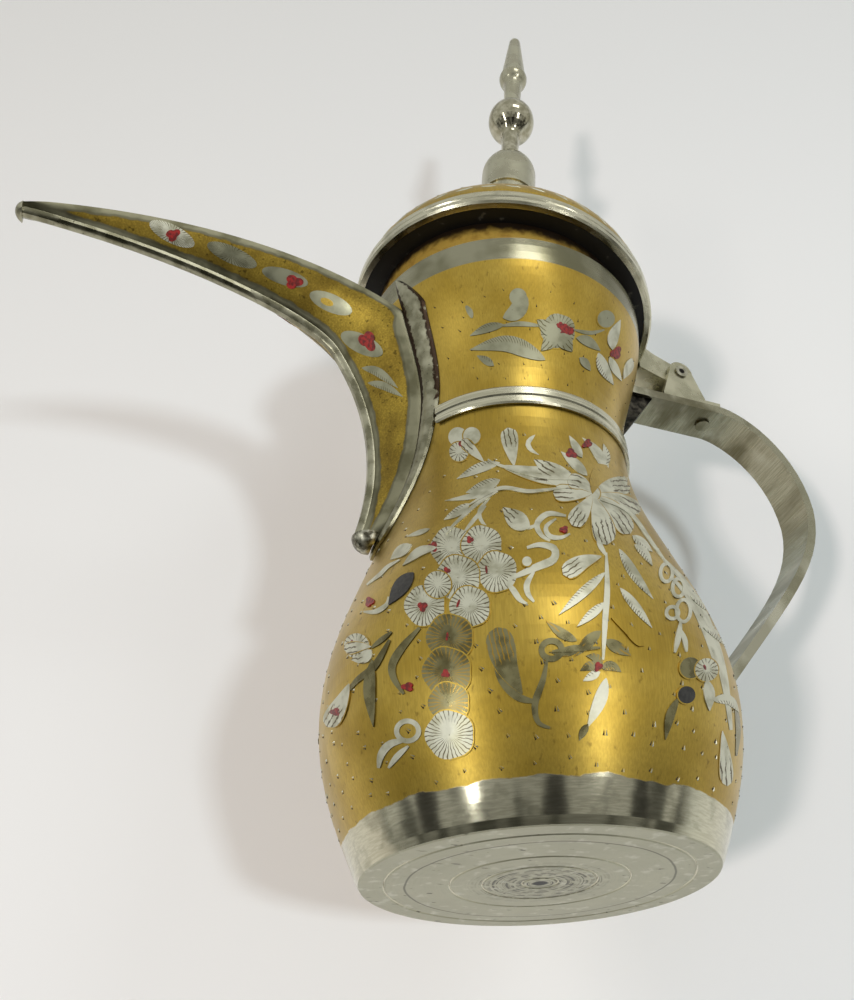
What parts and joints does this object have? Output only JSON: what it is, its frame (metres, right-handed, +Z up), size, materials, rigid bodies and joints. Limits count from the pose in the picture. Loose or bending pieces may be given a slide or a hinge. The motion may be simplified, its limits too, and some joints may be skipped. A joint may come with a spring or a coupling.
{
  "type": "dallah coffee pot",
  "caption": "Arabic coffee pot with waisted body, long beak spout, strap handle, domed hinged lid and tall turned finial.",
  "frame": {"origin": "centre of the flat base's underside", "axes": "+Z up along the pot's axis, +X towards the handle, -X towards the spout"},
  "size_m": [0.2309, 0.0988, 0.3221],
  "materials": {
    "lacquered_sheet": "gold lacquer over silvered brass, engraved through to the silver in flowers and leaves",
    "silvered": "worn silver plate, polished",
    "nickel_plain": "ground and scratched nickel",
    "brass_plain": "plain aged brass",
    "blackened": "blackened by use, rubbed at the edges",
    "solder": "dull rough solder"
  },
  "bodies": {
    "pot": {"base_plate": "nickel_plain", "belly_shell": "lacquered_sheet", "waist_ring": "silvered", "neck_shell": "lacquered_sheet", "spout_cheek_right": "lacquered_sheet", "spout_cheek_left": "lacquered_sheet", "spout_keel": "silvered", "spout_nose": "silvered", "spout_toe": "solder", "spout_flange": "silvered", "handle_strap": "nickel_plain", "handle_lug": "solder", "handle_foot": "nickel_plain", "hinge_bracket": "nickel_plain", "hinge_pin": "nickel_plain", "hinge_rivet": "nickel_plain"},
    "lid": {"lid_rim": "silvered", "lid_seat": "blackened", "lid_collar": "brass_plain", "lid_dome": "lacquered_sheet", "lid_turret": "silvered", "lid_tab": "nickel_plain", "finial_bell": "silvered", "finial_ball": "silvered", "finial_bead": "silvered", "finial_spire": "silvered", "finial_rod": "nickel_plain", "finial_nut": "nickel_plain"}
  },
  "joints": [
    {"name": "lid_hinge", "type": "hinge", "parent": "pot", "child": "lid", "pos_m": [0.0577, 0, 0.162], "axis": [0, 1, 0], "range_deg": [-5.1, 95]}
  ]
}
